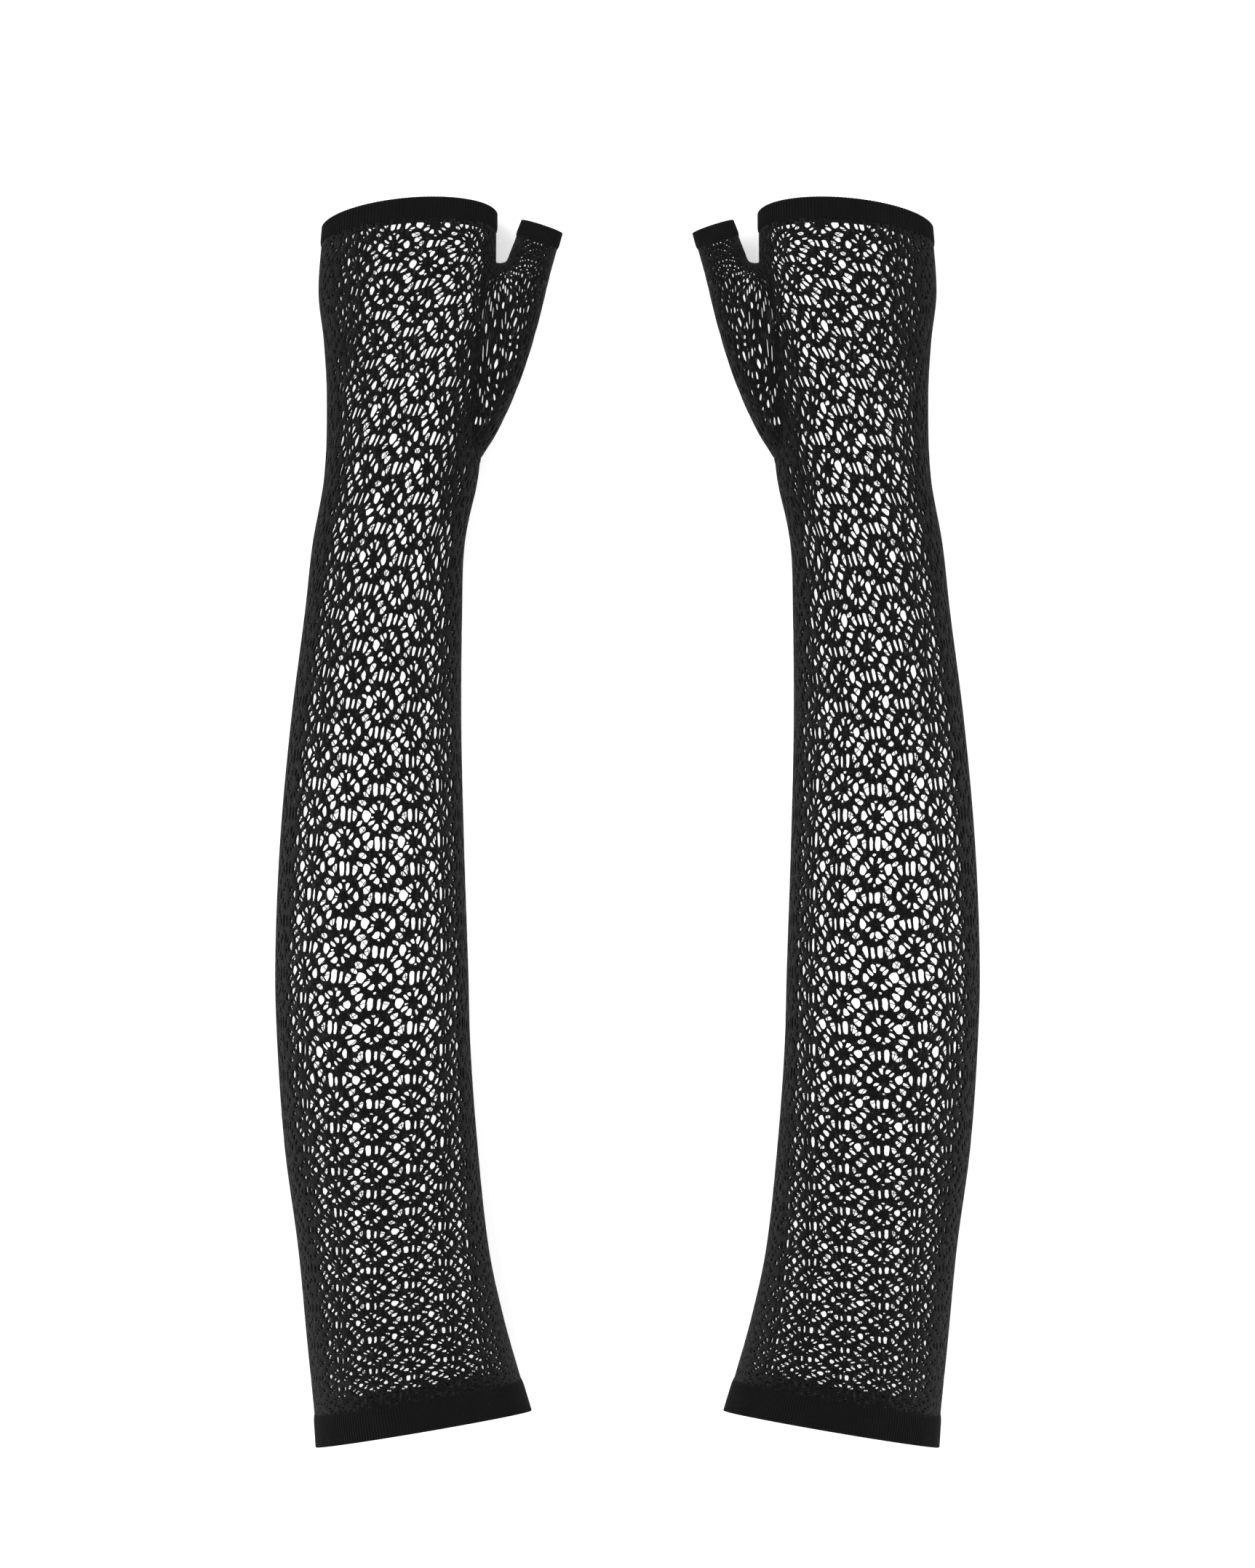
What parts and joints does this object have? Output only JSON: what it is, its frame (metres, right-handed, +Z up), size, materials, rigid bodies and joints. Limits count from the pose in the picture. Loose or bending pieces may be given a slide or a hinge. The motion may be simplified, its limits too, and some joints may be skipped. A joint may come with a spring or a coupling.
{
  "type": "opera gloves",
  "caption": "Pair of long openwork-knit fingerless gloves with ribbed edges, a short thumb tube on each, shown filled out as if worn.",
  "frame": {"origin": "middle of the pair on the surface that they lie on", "axes": "+X across the pair towards the right glove, +Y towards the fingers, +Z up from the surface"},
  "size_m": [0.2908, 0.5156, 0.079],
  "materials": {
    "lace_knit": "matte black openwork knit",
    "rib_knit": "matte black fine rib knit"
  },
  "bodies": {
    "left_forearm": {"left_forearm_lace": "lace_knit", "left_elbow_knit": "lace_knit", "left_wrist_knit": "lace_knit"},
    "left_upper_arm": {"left_upper_arm_lace": "lace_knit", "left_hem_band": "rib_knit"},
    "left_hand": {"left_hand_lace": "lace_knit", "left_knuckle_band": "rib_knit", "left_thumb_gusset": "lace_knit"},
    "left_thumb": {"left_thumb_lace": "lace_knit", "left_thumb_band": "rib_knit"},
    "right_forearm": {"right_forearm_lace": "lace_knit", "right_elbow_knit": "lace_knit", "right_wrist_knit": "lace_knit"},
    "right_upper_arm": {"right_upper_arm_lace": "lace_knit", "right_hem_band": "rib_knit"},
    "right_hand": {"right_hand_lace": "lace_knit", "right_knuckle_band": "rib_knit", "right_thumb_gusset": "lace_knit"},
    "right_thumb": {"right_thumb_lace": "lace_knit", "right_thumb_band": "rib_knit"}
  },
  "joints": [
    {"name": "right_glove_apart", "type": "slide", "parent": "left_forearm", "child": "right_forearm", "axis": [1, 0, 0], "range_m": [0, 0.15]},
    {"name": "left_elbow_bend", "type": "hinge", "parent": "left_forearm", "child": "left_upper_arm", "pos_m": [-0.1015, -0.135, 0.0375], "axis": [-1, 0, 0], "range_deg": [0, 90], "deforming": ["left_elbow_knit"]},
    {"name": "left_wrist_bend", "type": "hinge", "parent": "left_forearm", "child": "left_hand", "pos_m": [-0.099, 0.115, 0.0235], "axis": [1, 0, 0], "range_deg": [0, 60], "deforming": ["left_wrist_knit"]},
    {"name": "left_thumb_spread", "type": "hinge", "parent": "left_hand", "child": "left_thumb", "pos_m": [-0.052, 0.195, 0.018], "axis": [0, 0, -1], "range_deg": [-5, 30], "deforming": ["left_thumb_gusset"]},
    {"name": "right_elbow_bend", "type": "hinge", "parent": "right_forearm", "child": "right_upper_arm", "pos_m": [0.1015, -0.135, 0.0375], "axis": [-1, 0, 0], "range_deg": [0, 90], "deforming": ["right_elbow_knit"]},
    {"name": "right_wrist_bend", "type": "hinge", "parent": "right_forearm", "child": "right_hand", "pos_m": [0.099, 0.115, 0.0235], "axis": [1, 0, 0], "range_deg": [0, 60], "deforming": ["right_wrist_knit"]},
    {"name": "right_thumb_spread", "type": "hinge", "parent": "right_hand", "child": "right_thumb", "pos_m": [0.052, 0.195, 0.018], "axis": [0, 0, 1], "range_deg": [-5, 30], "deforming": ["right_thumb_gusset"]}
  ]
}
